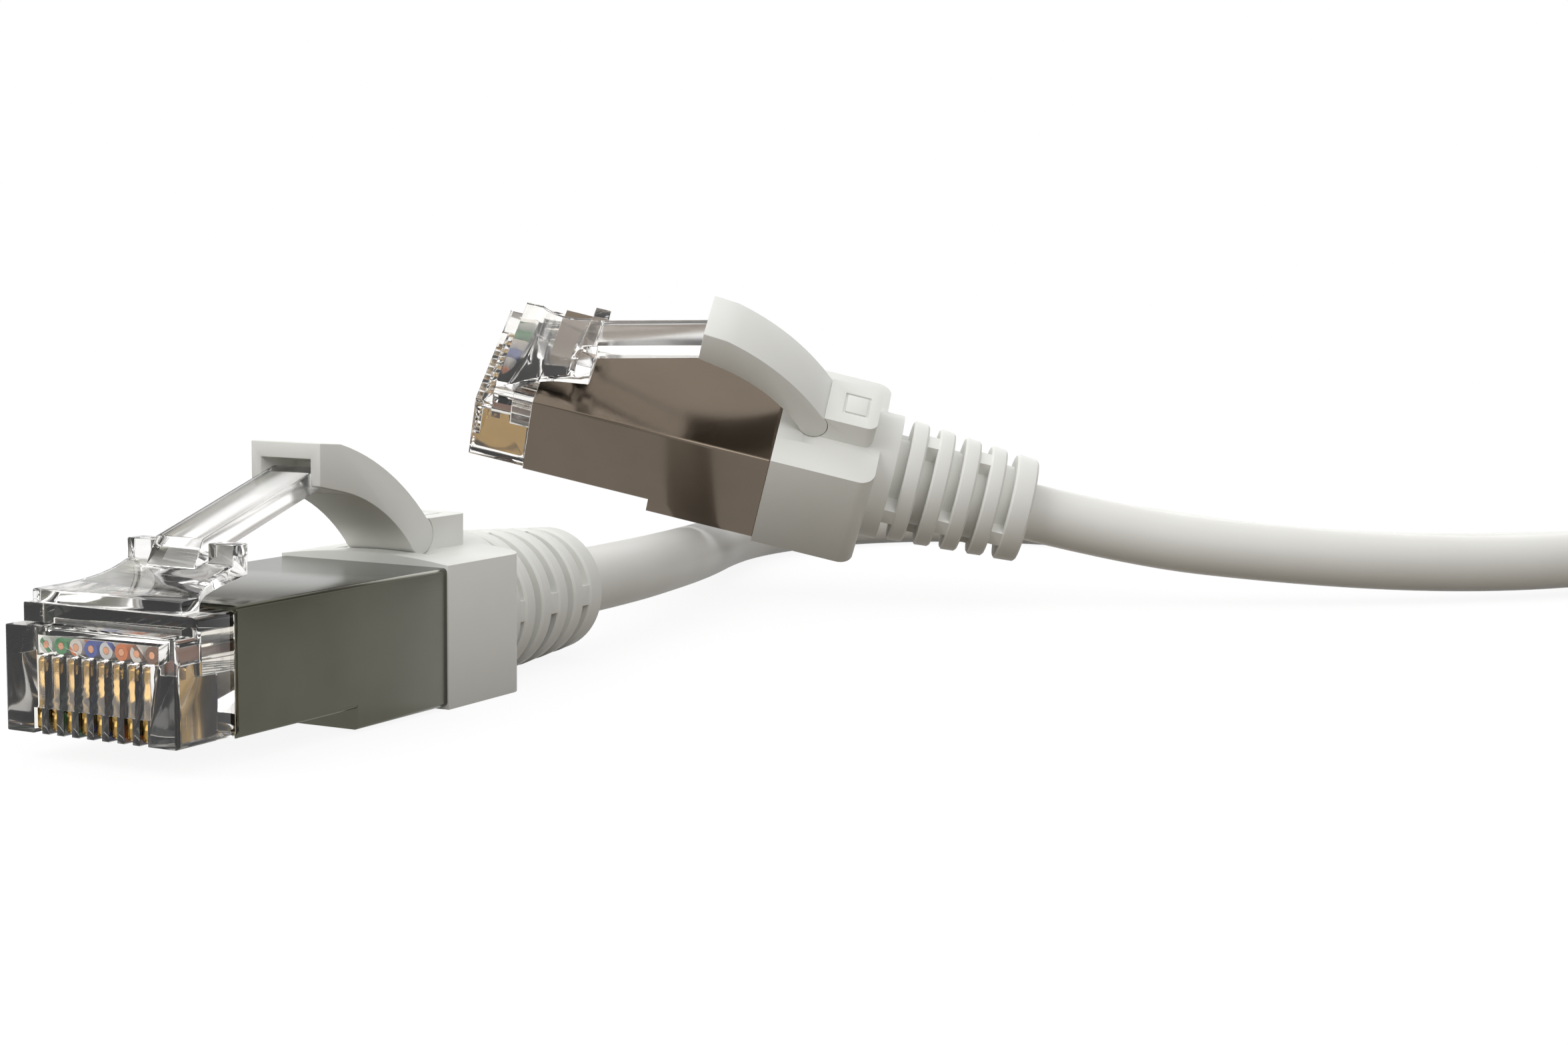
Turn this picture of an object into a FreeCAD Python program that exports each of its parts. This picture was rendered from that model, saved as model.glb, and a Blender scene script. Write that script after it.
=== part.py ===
"""Shielded 8-way patch cable: two latching plugs with strain-relief boots on one round cable.

A plug is built in its own frame: X across, Y from the nose towards the cable, Z up on the
latch side, with the origin at the bottom centre of the nose. Both plugs are that model, put
down twice. The part's origin is the middle of the face that plug A's boot rests on.
"""
import FreeCAD, Part
import math
import os
from FreeCAD import Vector

# Contacts and wires
WAYS = 8
PITCH = 1.02
BLADE_THICK = 0.42
BLADE_FRONT = 0.20
BLADE_REAR = 3.90
BLADE_FOOT = 0.10
BLADE_TIP = 3.98
BLADE_SHELF = 3.25
TOOTH_W = 0.70
WIRE_D = 0.86
CORE_D = 0.42
CORE_LEN = 1.9
WIRE_FRONT = 1.2
WIRE_Z = 4.5
BUNDLE_R = 1.3
FAN_START = 7.0
FAN_MID = 9.2
FAN_END = 13.2
FAN_LIFT = 0.55
FAN_DROP = 0.3
BUNDLE_IN = 1.6

# Clear housing
HOUSING_W = 11.68
HOUSING_LEN = 20.5
NOSE_H = 5.6
LEDGE_BACK = 1.3
NOSE_TOP = 6.6
NOSE_ROUND = 0.25
SLOT_OPEN = 1.4
FIT = 0.05

# Load bar that holds the wires in line
BAR_W = 8.5
BAR_H = 2.2
BAR_FRONT = 2.7
BAR_REAR = 6.4

# Shield, bent from sheet
SHEET = 0.3
SHIELD_W = 12.0
SHIELD_FRONT = 4.4
SHIELD_TAIL = 2.4
SHIELD_TOP = 6.85
SHIELD_BOTTOM = -0.1
SHIELD_MOUTH = 7.5
STEP_AT = 14.4
STEP_DROP = 1.2
BEND_R = 0.25
SEAM = 0.12

# Latch: thin at its root, a ramp, two catch tabs and a narrow tail
LATCH_ROOT_W = 10.1
LATCH_ROOT_LEN = 1.3
LATCH_TOP = 7.35
SHOULDER_W = 7.3
SHOULDER_AT = 6.9
SHOULDER_LEN = 1.2
RAMP_TOP = 8.5
TAB_TOP = 9.6
TAB_W = 1.7
PLATE_THICK = 0.62
TAIL_W = 3.3
TAIL_THICK = 1.25
TAIL_END = 16.8
TAIL_SLOPE = 0.32
LATCH_TRAVEL = 8.4

# Boot: moulded block, plinth, lever and slotted strain relief
AXIS_Z = 3.0
BOOT_W = 12.2
BOOT_LEN = 8.0
BOOT_TOP = 7.0
BOOT_CROWN = 0.45
BOOT_BOTTOM = -1.5
BOOT_ROUND = 1.2
PLINTH_TOP = 9.3
PLINTH_LEN = 4.85
PLINTH_ROUND = 0.8
GROOVE_L = 2.0
GROOVE_W = 2.4
GROOVE_WIDE = 0.2
GROOVE_DEEP = 0.15
LEVER_W = 4.9
HOOD_OVER = 1.0
HOOD_TOP = 14.4
HOOD_LOW = 11.95
HOOD_POCKET = 3.2
HOOD_LEN = 2.2
HOOD_SLOPE = 0.45
ARCH_UNDER = 10.0
ARCH_UNDER_BACK = 3.65
ARCH_OVER = 12.4
ARCH_OVER_BACK = 3.25
ROOF = 0.92
KNUCKLE_BACK = 2.45
KNUCKLE_Z = 8.35
KNUCKLE_R = 1.15
KNUCKLE_GAP = 0.06
FLANGE_R = 4.95
FLANGE_LEN = 1.4
RINGS = 5
RING_W = 1.26
RING_GAP = 0.86
LAST_RING_W = 1.7
RING_R = 4.86
RING_TAPER = 0.0695
SLEEVE_R = 3.15
WEB_W = 1.3
EDGE = 0.15

# Cable and the pieces that hold it inside the plug
CABLE_D = 4.5
JACKET_FRONT = 14.0
JACKET_DEPTH = 2.2
BORE_FIT = 0.03
FERRULE_LEN = 6.3
FERRULE_WALL = 0.52

# Places of the two plugs: origin, then turns about Z, Y and X in degrees
PLUG_A_TURN = (0.0, 0.0, 0.0)
PLUG_B_PLACE = (-21.26, 40.06, 14.83)
PLUG_B_TURN = (-73.21, 35.29, -16.37)

# Route of the cable: plug A to coil, coil, coil to plug B
ROUTE_A = [
    (-3.0, 38.0, 4.0), (-7.2, 50.3, 3.3), (-12.0, 62.5, 2.6),
    (-14.5, 74.5, 2.3), (-12.5, 85.5, 2.25), (-5.5, 94.0, 2.25), (5.0, 97.0, 2.25),
    (15.0, 93.5, 2.25), (22.5, 87.6, 2.25), (29.8, 83.4, 2.25), (37.3, 82.4, 2.25),
    (44.6, 84.4, 2.25), (50.4, 89.2, 2.25), (55.2, 94.4, 2.25), (62.0, 97.2, 2.3),
    (69.8, 97.4, 2.35), (78.0, 94.8, 2.45), (87.0, 90.4, 2.6),
]
ROUTE_B = [
    (82.3, 77.6, 7.4), (80.3, 83.9, 6.5), (75.8, 88.8, 5.4), (69.7, 91.3, 4.4),
    (63.1, 91.1, 3.5), (57.2, 88.2, 2.9), (50.5, 79.9, 2.8), (43.1, 72.6, 3.2),
    (34.6, 66.6, 4.0),
]
EXIT_RUN = 9.0
LEAD_IN = 11.0
LEAD_OUT = 6.5
COIL_X = 103.2
COIL_Y = 50.4
COIL_INNER_R = 16.9
COIL_TURNS = 5
COIL_IN = 75.0
COIL_OUT = 149.0
TURN_GAP = 0.6
TIE_AT = -50.0
TIE_WIDE = 6.0
TIE_THICK = 0.45
TIE_SLACK = 0.3

CABLE_R = CABLE_D / 2
SHIELD_REAR = HOUSING_LEN + SHIELD_TAIL
KNUCKLE_Y = SHIELD_REAR + KNUCKLE_BACK
PLINTH_REAR = KNUCKLE_Y + PLINTH_LEN
HOOD_FRONT = TAIL_END - HOOD_OVER
BOOT_REAR = SHIELD_REAR + BOOT_LEN
SHIELD_IN_W = SHIELD_W - 2 * SHEET
FERRULE_FRONT = HOUSING_LEN + FIT
FERRULE_REAR = FERRULE_FRONT + FERRULE_LEN
COLLAR_FRONT = HOUSING_LEN + 2 * FIT
LAYER = CABLE_D + TURN_GAP
COLOURS = ("white_green", "green", "white_orange", "blue", "white_blue", "orange", "white_brown", "brown")


def block(x0, x1, y0, y1, z0, z1):
    """A box between two corners."""
    return Part.makeBox(x1 - x0, y1 - y0, z1 - z0, Vector(x0, y0, z0))


def face_of(edges):
    """A flat face inside a closed run of edges."""
    return Part.Face(Part.Wire(edges))


def lines(points):
    """Straight edges from each point to the next."""
    return [Part.makeLine(a, b) for a, b in zip(points, points[1:])]


def arc(start, middle, end):
    """An arc through three points."""
    return Part.Arc(start, middle, end).toShape()


def side_prism(points, width):
    """A (y, z) outline made solid across X, centred."""
    corners = [Vector(-width / 2, y, z) for y, z in points]
    return face_of(lines(corners + corners[:1])).extrude(Vector(width, 0, 0))


def along_y(radius, y0, y1, z=AXIS_Z, x=0.0):
    """A round bar along Y."""
    return Part.makeCylinder(radius, y1 - y0, Vector(x, y0, z), Vector(0, 1, 0))


def way_x(index):
    """Place across the plug of one of the eight ways."""
    return (index - (WAYS - 1) / 2) * PITCH


def bend(start, corner, end):
    """A tangent arc from start to end whose tangents meet at corner."""
    chord = (start + end) * 0.5
    rise = corner - chord
    half = (end - start).Length / 2
    turn = 2 * math.atan2(rise.Length, half)
    middle = chord + rise.normalize() * half * math.tan(turn / 4)
    return arc(start, middle, end)


def route_edges(points, radii=None):
    """Straight runs joined by tangent arcs, each as large as its two runs allow."""
    edges = []
    here = points[0]
    for before, corner, after in zip(points, points[1:], points[2:]):
        back = before - corner
        ahead = after - corner
        reach = 0.45 * min(back.Length, ahead.Length)
        turn = math.pi - back.getAngle(ahead)
        if radii is not None:
            radii.append(reach / math.tan(turn / 2))
        start = corner + back.normalize() * reach
        end = corner + ahead.normalize() * reach
        edges.append(Part.makeLine(here, start))
        edges.append(bend(start, corner, end))
        here = end
    edges.append(Part.makeLine(here, points[-1]))
    return edges


def tube(edges, radius, start, ahead):
    """A round tube along a smooth run of edges."""
    ring = Part.Wire(Part.makeCircle(radius, start, ahead))
    return Part.Wire(edges).makePipeShell([ring], True, False)


def biarc(start, ahead, end, onward):
    """Two arcs that leave start along ahead and reach end along onward."""
    gap = end - start
    both = ahead + onward
    spare = 2 * (1 - ahead.dot(onward))
    reach = (math.sqrt(gap.dot(both) ** 2 + spare * gap.dot(gap)) - gap.dot(both)) / spare
    middle = (start + end + (ahead - onward) * reach) * 0.5
    return [bend(start, start + ahead * reach, middle), bend(middle, end - onward * reach, end)]


def blade_outline(grow, top, shelf, open_front):
    """Side outline of a contact blade, or of its slot when grown."""
    front = -1.0 if open_front else BLADE_FRONT
    foot = -1.0 if open_front else BLADE_FOOT
    back = BLADE_FRONT + 0.35 - grow
    return [
        (front, foot), (BLADE_REAR + grow, foot), (BLADE_REAR + grow, shelf),
        (BAR_FRONT - 0.15, shelf), (BAR_FRONT - 0.15, top), (back, top),
        (back, SLOT_OPEN - 0.1 + grow), (front, SLOT_OPEN - 0.1 + grow),
    ]


def make_housing():
    """Clear moulding: nose with eight slots, and the body that the shield wraps."""
    nose = side_prism([
        (0, 0), (SHIELD_FRONT - FIT, 0), (SHIELD_FRONT - FIT, NOSE_TOP), (LEDGE_BACK, NOSE_TOP),
        (LEDGE_BACK, NOSE_H), (0, NOSE_H)], HOUSING_W)
    edges = [e for e in nose.Edges if abs(abs(e.CenterOfMass.x) - HOUSING_W / 2) < 0.001
             and e.CenterOfMass.y < SHIELD_FRONT - 2 * FIT]
    nose = nose.makeFillet(NOSE_ROUND, edges)
    body_w = SHIELD_IN_W - 2 * FIT
    floor = SHIELD_BOTTOM + SHEET + FIT
    roof = SHIELD_TOP - SHEET - FIT
    housing = nose.fuse(block(-body_w / 2, body_w / 2, SHIELD_FRONT - FIT, HOUSING_LEN, floor, roof))
    row_w = (WAYS - 1) * PITCH + WIRE_D + 2 * FIT
    wire_h = WIRE_D + 2 * FIT
    cuts = [block(-row_w / 2, row_w / 2, WIRE_FRONT - FIT, BAR_FRONT,
                  WIRE_Z - wire_h / 2, WIRE_Z + wire_h / 2)]
    bar_top = WIRE_Z + BAR_H / 2 + FIT
    cuts.append(block(-BAR_W / 2 - FIT, BAR_W / 2 + FIT, BAR_FRONT - FIT, BAR_REAR + FIT,
                      WIRE_Z - BAR_H / 2 - FIT, bar_top))
    cuts.append(block(-BAR_W / 2 - FIT, BAR_W / 2 + FIT, BAR_REAR, HOUSING_LEN + 1,
                      AXIS_Z - CABLE_R - 2 * FIT, bar_top))
    slot = side_prism(blade_outline(FIT, WIRE_Z - WIRE_D / 2, BLADE_SHELF + FIT, True),
                      BLADE_THICK + 2 * FIT)
    for index in range(WAYS):
        cuts.append(slot.translated(Vector(way_x(index), 0, 0)))
    return housing.cut(cuts).removeSplitter()


def make_contact(index):
    """One stamped blade with a rounded foot and two piercing teeth."""
    blade = side_prism(blade_outline(0, BLADE_TIP, BLADE_SHELF, False), BLADE_THICK)
    tooth_top = BLADE_TIP - TOOTH_W
    first = BLADE_FRONT + 0.35 + TOOTH_W
    notch = block(-1, 1, first, BAR_FRONT - 0.15 - TOOTH_W, tooth_top, BLADE_TIP + 1)
    blade = blade.cut(notch)

    def corner(edge):
        """True for a cross edge that gets rounded."""
        middle = edge.CenterOfMass
        across = abs(middle.x) < 0.001
        foot = abs(middle.z - BLADE_FOOT) < 0.001
        tip = abs(middle.z - BLADE_TIP) < 0.001
        return across and edge.Length < 2 * BLADE_THICK and (foot or tip)

    edges = [e for e in blade.Edges if corner(e)]
    blade = blade.makeFillet(min(TOOTH_W * 0.42, 0.3), edges)
    return blade.translated(Vector(way_x(index), 0, 0))


def make_contacts():
    """All eight blades, as separate solids in one piece group."""
    return Part.makeCompound([make_contact(index) for index in range(WAYS)])


def make_load_bar():
    """Comb block with a hole for each wire."""
    bar = block(-BAR_W / 2, BAR_W / 2, BAR_FRONT, BAR_REAR, WIRE_Z - BAR_H / 2, WIRE_Z + BAR_H / 2)
    holes = [along_y(WIRE_D / 2 + FIT, BAR_FRONT - 1, BAR_REAR + 1, WIRE_Z, way_x(i)) for i in range(WAYS)]
    return bar.cut(holes)


def bundle_place(index):
    """Place of a wire in the round bundle, in the order that keeps the fan from crossing."""
    angle = math.radians((180, 225, 135, 270, 90, 315, 45, 0)[index])
    return BUNDLE_R * math.cos(angle), BUNDLE_R * math.sin(angle)


def make_wire(index):
    """An insulated wire from its contact, through the load bar, to the bundle in the jacket."""
    x = way_x(index)
    side, lift = bundle_place(index)
    step = 0.0 if abs(lift) < 0.01 else math.copysign(FAN_LIFT, lift)
    points = [
        Vector(x, WIRE_FRONT, WIRE_Z), Vector(x, FAN_START, WIRE_Z),
        Vector(x, FAN_MID, WIRE_Z - FAN_DROP + step), Vector(side, FAN_END, AXIS_Z + lift),
        Vector(side, JACKET_FRONT + BUNDLE_IN, AXIS_Z + lift)]
    wire = tube(route_edges(points), WIRE_D / 2, points[0], Vector(0, 1, 0))
    return wire.cut(along_y(CORE_D / 2, WIRE_FRONT - 1, WIRE_FRONT + CORE_LEN, WIRE_Z, x))


def make_cores():
    """Bare copper ends of the eight wires."""
    return Part.makeCompound([
        along_y(CORE_D / 2 - FIT / 2, WIRE_FRONT, WIRE_FRONT + CORE_LEN - FIT, WIRE_Z, way_x(i))
        for i in range(WAYS)])


def make_shield():
    """Bent sheet sleeve, open at the contacts, with a deeper rear and a seam underneath."""
    def sleeve(inset, front, rear):
        """Side outline of the sleeve, drawn in by inset."""
        low = SHIELD_BOTTOM + inset
        deep = SHIELD_BOTTOM - STEP_DROP + inset
        return side_prism([
            (front, low), (STEP_AT + inset, low), (STEP_AT + inset, deep), (rear, deep),
            (rear, SHIELD_TOP - inset), (front, SHIELD_TOP - inset)], SHIELD_W - 2 * inset)

    outer = sleeve(0, SHIELD_FRONT, SHIELD_REAR)
    long_edges = [e for e in outer.Edges if e.Length > 4 and abs(abs(e.CenterOfMass.x) - SHIELD_W / 2) < 0.001
                  and abs(e.tangentAt(e.FirstParameter).y) > 0.99]
    outer = outer.makeFillet(BEND_R, long_edges)
    inner = sleeve(SHEET, SHIELD_FRONT - 1, SHIELD_REAR + 1)
    mouth = block(-SHIELD_IN_W / 2, SHIELD_IN_W / 2, SHIELD_FRONT - 1, SHIELD_MOUTH,
                  SHIELD_BOTTOM - 1, SHIELD_BOTTOM + 2 * SHEET)
    seam = block(-SEAM / 2, SEAM / 2, STEP_AT - 1, SHIELD_REAR + 1,
                 SHIELD_BOTTOM - STEP_DROP - 1, SHIELD_BOTTOM - STEP_DROP + 2 * SHEET)
    return outer.cut([inner, mouth, seam])


def make_latch():
    """Sprung latch: root, concave ramp, two catch tabs and a tail that ends in the lever."""
    root_rear = LEDGE_BACK + LATCH_ROOT_LEN
    shoulder_rear = SHOULDER_AT + SHOULDER_LEN
    under = NOSE_TOP + 0.6 * FIT
    drop = math.tan(math.radians(LATCH_TRAVEL))
    clear = SHIELD_TOP + FIT + (shoulder_rear - root_rear) * drop
    low_rear = max(clear, RAMP_TOP - PLATE_THICK)
    low_mid = max(SHIELD_TOP + FIT + (SHIELD_FRONT - root_rear) * drop, under + 0.55)
    half = LATCH_ROOT_W / 2

    def at(y, z):
        """A point of the plate's side outline."""
        return Vector(-half, y, z)

    plate = face_of([
        Part.makeLine(at(LEDGE_BACK, under), at(root_rear, under)),
        Part.makeLine(at(root_rear, under), at(SHIELD_FRONT - 0.2, low_mid)),
        Part.makeLine(at(SHIELD_FRONT - 0.2, low_mid), at(shoulder_rear, low_rear)),
        Part.makeLine(at(shoulder_rear, low_rear), at(shoulder_rear, RAMP_TOP + 0.25)),
        Part.makeLine(at(shoulder_rear, RAMP_TOP + 0.25), at(SHOULDER_AT, RAMP_TOP)),
        arc(at(SHOULDER_AT, RAMP_TOP), at(4.6, 7.78), at(root_rear, LATCH_TOP + 0.03)),
        Part.makeLine(at(root_rear, LATCH_TOP + 0.03), at(LEDGE_BACK, LATCH_TOP)),
        Part.makeLine(at(LEDGE_BACK, LATCH_TOP), at(LEDGE_BACK, under)),
    ]).extrude(Vector(LATCH_ROOT_W, 0, 0))

    def on(x, y):
        """A point of the latch's outline seen from above."""
        return Vector(x, y, 0)

    narrow = SHOULDER_W / 2
    plan = face_of([
        Part.makeLine(on(-half, 0), on(half, 0)),
        Part.makeLine(on(half, 0), on(half, root_rear)),
        arc(on(half, root_rear), on(narrow + 0.38, 4.2), on(narrow, SHOULDER_AT - 0.6)),
        Part.makeLine(on(narrow, SHOULDER_AT - 0.6), on(narrow, 12)),
        Part.makeLine(on(narrow, 12), on(-narrow, 12)),
        Part.makeLine(on(-narrow, 12), on(-narrow, SHOULDER_AT - 0.6)),
        arc(on(-narrow, SHOULDER_AT - 0.6), on(-narrow - 0.38, 4.2), on(-half, root_rear)),
        Part.makeLine(on(-half, root_rear), on(-half, 0)),
    ]).extrude(Vector(0, 0, 20))
    latch = plate.common(plan)
    for side in (-1, 1):
        outer = side * SHOULDER_W / 2
        inner = side * (SHOULDER_W / 2 - TAB_W)
        x0, x1 = min(outer, inner), max(outer, inner)
        latch = latch.fuse(block(x0, x1, SHOULDER_AT, shoulder_rear, low_rear, TAB_TOP))
    tail_top = TAB_TOP + 0.2
    tail_len = TAIL_END - SHOULDER_AT
    tail = side_prism([
        (SHOULDER_AT - 0.7, low_rear), (shoulder_rear, low_rear), (shoulder_rear, tail_top - TAIL_THICK + 0.35),
        (TAIL_END, tail_top + tail_len * TAIL_SLOPE - TAIL_THICK),
        (TAIL_END, tail_top + tail_len * TAIL_SLOPE), (SHOULDER_AT, tail_top),
        (SHOULDER_AT - 0.7, RAMP_TOP - 0.05)], TAIL_W)
    return latch.fuse(tail).removeSplitter()


def make_lever():
    """Boot lever: hood over the latch's tail, arched arm and hinge knuckle."""
    def at(y, z):
        """A point of the lever's side outline."""
        return Vector(-LEVER_W / 2, y, z)

    def rim(angle):
        """A point on the knuckle."""
        turn = math.radians(angle)
        return at(KNUCKLE_Y + KNUCKLE_R * math.cos(turn), KNUCKLE_Z + KNUCKLE_R * math.sin(turn))

    side = face_of([
        Part.makeLine(at(HOOD_FRONT, HOOD_LOW), at(HOOD_FRONT + HOOD_LEN, HOOD_LOW - HOOD_SLOPE)),
        arc(at(HOOD_FRONT + HOOD_LEN, HOOD_LOW - HOOD_SLOPE), at(KNUCKLE_Y - ARCH_UNDER_BACK, ARCH_UNDER), rim(207)),
        arc(rim(207), rim(314), rim(62)),
        arc(rim(62), at(KNUCKLE_Y - ARCH_OVER_BACK, ARCH_OVER), at(HOOD_FRONT + 1.9, HOOD_TOP - 0.15)),
        Part.makeLine(at(HOOD_FRONT + 1.9, HOOD_TOP - 0.15), at(HOOD_FRONT, HOOD_TOP)),
        Part.makeLine(at(HOOD_FRONT, HOOD_TOP), at(HOOD_FRONT, HOOD_LOW)),
    ]).extrude(Vector(LEVER_W, 0, 0))
    rear = HOOD_FRONT + HOOD_POCKET
    pocket = side_prism([
        (HOOD_FRONT - 1, HOOD_LOW - 2), (rear, HOOD_LOW - 2), (rear, HOOD_TOP - ROOF - 0.45),
        (HOOD_FRONT + 1.6, HOOD_TOP - ROOF), (HOOD_FRONT - 1, HOOD_TOP - ROOF)], TAIL_W + 4 * FIT)
    return side.cut(pocket)


def ring_places():
    """Start and end along the boot of each ring of the strain relief."""
    places = []
    y = BOOT_REAR + FLANGE_LEN
    for index in range(RINGS):
        wide = LAST_RING_W if index == RINGS - 1 else RING_W
        places.append((y + RING_GAP, y + RING_GAP + wide))
        y += RING_GAP + wide
    return places


RELIEF_END = BOOT_REAR + FLANGE_LEN + RINGS * RING_GAP + (RINGS - 1) * RING_W + LAST_RING_W


def ring_radius(y):
    """Outer radius of the tapering rings at a place along the boot."""
    return RING_R - RING_TAPER * (y - BOOT_REAR - FLANGE_LEN)


def make_relief():
    """Flange, thin sleeve, tapering rings and the webs that join them, turned by 90 degrees each."""
    points = [(0, BOOT_REAR - 1), (FLANGE_R, BOOT_REAR - 1), (FLANGE_R, BOOT_REAR + FLANGE_LEN),
              (SLEEVE_R, BOOT_REAR + FLANGE_LEN)]
    for start, end in ring_places():
        points += [(SLEEVE_R, start), (ring_radius(start) - EDGE, start), (ring_radius(start), start + EDGE),
                   (ring_radius(end), end - EDGE), (ring_radius(end) - EDGE, end), (SLEEVE_R, end)]
    points.append((0, points[-1][1]))
    corners = [Vector(r, y, 0) for r, y in points]
    relief = face_of(lines(corners + corners[:1])).revolve(Vector(0, 0, 0), Vector(0, 1, 0), 360)
    relief = relief.translated(Vector(0, 0, AXIS_Z))
    start = BOOT_REAR + FLANGE_LEN
    for index, (ring_start, ring_end) in enumerate(ring_places()):
        reach = ring_radius(ring_start) - EDGE
        if index % 2 == 0:
            web = block(-reach, reach, start - EDGE, ring_start + EDGE,
                        AXIS_Z - WEB_W / 2, AXIS_Z + WEB_W / 2)
        else:
            web = block(-WEB_W / 2, WEB_W / 2, start - EDGE, ring_start + EDGE,
                        AXIS_Z - reach, AXIS_Z + reach)
        relief = relief.fuse(web)
        start = ring_end
    return relief


def make_boot():
    """Moulded boot: crowned block, lever plinth and strain relief, bored for the cable."""
    half = BOOT_W / 2
    y = SHIELD_REAR
    front = face_of([
        Part.makeLine(Vector(-half, y, BOOT_TOP), Vector(-half, y, BOOT_BOTTOM)),
        Part.makeLine(Vector(-half, y, BOOT_BOTTOM), Vector(half, y, BOOT_BOTTOM)),
        Part.makeLine(Vector(half, y, BOOT_BOTTOM), Vector(half, y, BOOT_TOP)),
        arc(Vector(half, y, BOOT_TOP), Vector(0, y, BOOT_TOP + BOOT_CROWN), Vector(-half, y, BOOT_TOP)),
    ])
    boot = front.extrude(Vector(0, BOOT_LEN, 0))
    rear_edges = [e for e in boot.Edges if abs(e.CenterOfMass.y - BOOT_REAR) < 0.001
                  and abs(abs(e.CenterOfMass.x) - half) < 0.001]
    boot = boot.makeFillet(BOOT_ROUND, rear_edges)
    plinth = block(-LEVER_W / 2, LEVER_W / 2, KNUCKLE_Y, PLINTH_REAR, BOOT_TOP - 1, PLINTH_TOP)
    corners = [e for e in plinth.Edges if abs(e.CenterOfMass.y - PLINTH_REAR) < 0.001
               and abs(abs(e.CenterOfMass.x) - LEVER_W / 2) < 0.001]
    plinth = plinth.makeFillet(PLINTH_ROUND, corners)
    socket = Part.makeCylinder(KNUCKLE_R + KNUCKLE_GAP, LEVER_W + 2,
                               Vector(-LEVER_W / 2 - 1, KNUCKLE_Y, KNUCKLE_Z), Vector(1, 0, 0))
    boot = boot.fuse(plinth.cut(socket)).cut(socket)
    middle = (KNUCKLE_Y + KNUCKLE_R + PLINTH_REAR) / 2
    top = PLINTH_TOP - GROOVE_DEEP
    groove = block(-GROOVE_W / 2, GROOVE_W / 2, middle - GROOVE_L / 2, middle + GROOVE_L / 2, top, top + 1)
    island = block(-GROOVE_W / 2 + GROOVE_WIDE, GROOVE_W / 2 - GROOVE_WIDE, middle - GROOVE_L / 2 + GROOVE_WIDE,
                   middle + GROOVE_L / 2 - GROOVE_WIDE, top - 1, top + 2)
    boot = boot.fuse(make_relief()).cut(groove.cut(island))
    bore = along_y(CABLE_R + BORE_FIT, SHIELD_REAR - 1, RELIEF_END + 1)
    pocket = along_y(CABLE_R + FERRULE_WALL + 2 * BORE_FIT, SHIELD_REAR - 1, FERRULE_REAR + 2 * BORE_FIT)
    return boot.cut([bore, pocket]).removeSplitter()


def make_ferrule():
    """Crimped metal sleeve round the jacket."""
    inner = CABLE_R + BORE_FIT
    sleeve = along_y(inner + FERRULE_WALL, FERRULE_FRONT, FERRULE_REAR)
    return sleeve.cut(along_y(inner, FERRULE_FRONT - 1, FERRULE_REAR + 1))


def make_collar():
    """Moulded insert that closes the shield's rear and holds the ferrule."""
    half = SHIELD_IN_W / 2 - FIT
    collar = block(-half, half, COLLAR_FRONT, SHIELD_REAR - FIT,
                   SHIELD_BOTTOM - STEP_DROP + SHEET + FIT, SHIELD_TOP - SHEET - FIT)
    return collar.cut(along_y(CABLE_R + FERRULE_WALL + 2 * BORE_FIT, COLLAR_FRONT - 1, SHIELD_REAR + 1))


def make_jacket():
    """The cable's jacket inside the plug, opened in front for the wires."""
    jacket = along_y(CABLE_R, JACKET_FRONT, RELIEF_END)
    return jacket.cut(along_y(BUNDLE_R + WIRE_D / 2 + FIT, JACKET_FRONT - 1, JACKET_FRONT + JACKET_DEPTH))


def plug_pieces():
    """Every piece of one plug by name, in the plug's own frame."""
    pieces = {
        "housing": make_housing(), "contacts": make_contacts(), "load_bar": make_load_bar(),
        "wire_cores": make_cores(), "shield": make_shield(), "latch": make_latch(),
        "boot_lever": make_lever(), "boot": make_boot(), "ferrule": make_ferrule(),
        "rear_collar": make_collar(), "jacket": make_jacket()}
    for index, colour in enumerate(COLOURS):
        pieces["wire_" + colour] = make_wire(index)
    return pieces


def plug_placement(origin, turn):
    """Where a plug lies: its origin, and its turns about Z, Y and X."""
    return FreeCAD.Placement(Vector(*origin), FreeCAD.Rotation(*turn))


PLACE_A = plug_placement((0, -(SHIELD_REAR + BOOT_LEN / 2), -BOOT_BOTTOM), PLUG_A_TURN)
PLACE_B = plug_placement(PLUG_B_PLACE, PLUG_B_TURN)


def coil_point(turned):
    """Place and heading on the coil after so many radians, clockwise seen from above."""
    total = math.radians(COIL_IN - COIL_OUT + 360 * COIL_TURNS)
    past = turned - total / 2
    angle = math.radians(COIL_IN) - turned
    radius = COIL_INNER_R + LAYER * abs(past) / (2 * math.pi)
    grow = math.copysign(LAYER / (2 * math.pi), past)
    climb = min(max(past / math.pi + 0.5, 0.0), 1.0)
    low = CABLE_R + TIE_THICK
    height = low + LAYER * (1 - math.cos(math.pi * climb)) / 2
    rise = LAYER * math.sin(math.pi * climb) / 2 if 0 < climb < 1 else 0.0
    place = Vector(COIL_X + radius * math.cos(angle), COIL_Y + radius * math.sin(angle), height)
    heading = Vector(grow * math.cos(angle) + radius * math.sin(angle),
                     grow * math.sin(angle) - radius * math.cos(angle), rise)
    return place, heading.normalize(), total


def coil_edges():
    """Biarcs of the coil: in on the first layer, up in half a turn, out on the second."""
    total = coil_point(0)[2]
    half = total / 2
    eighths = [half + math.pi / 4 * k for k in range(-40, 41)]
    stops = [0.0] + [s for s in eighths if 0.2 < s < total - 0.2] + [total]
    edges = []
    for here, there in zip(stops, stops[1:]):
        start, ahead, _ = coil_point(here)
        end, onward, _ = coil_point(there)
        edges += biarc(start, ahead, end, onward)
    return edges


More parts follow.
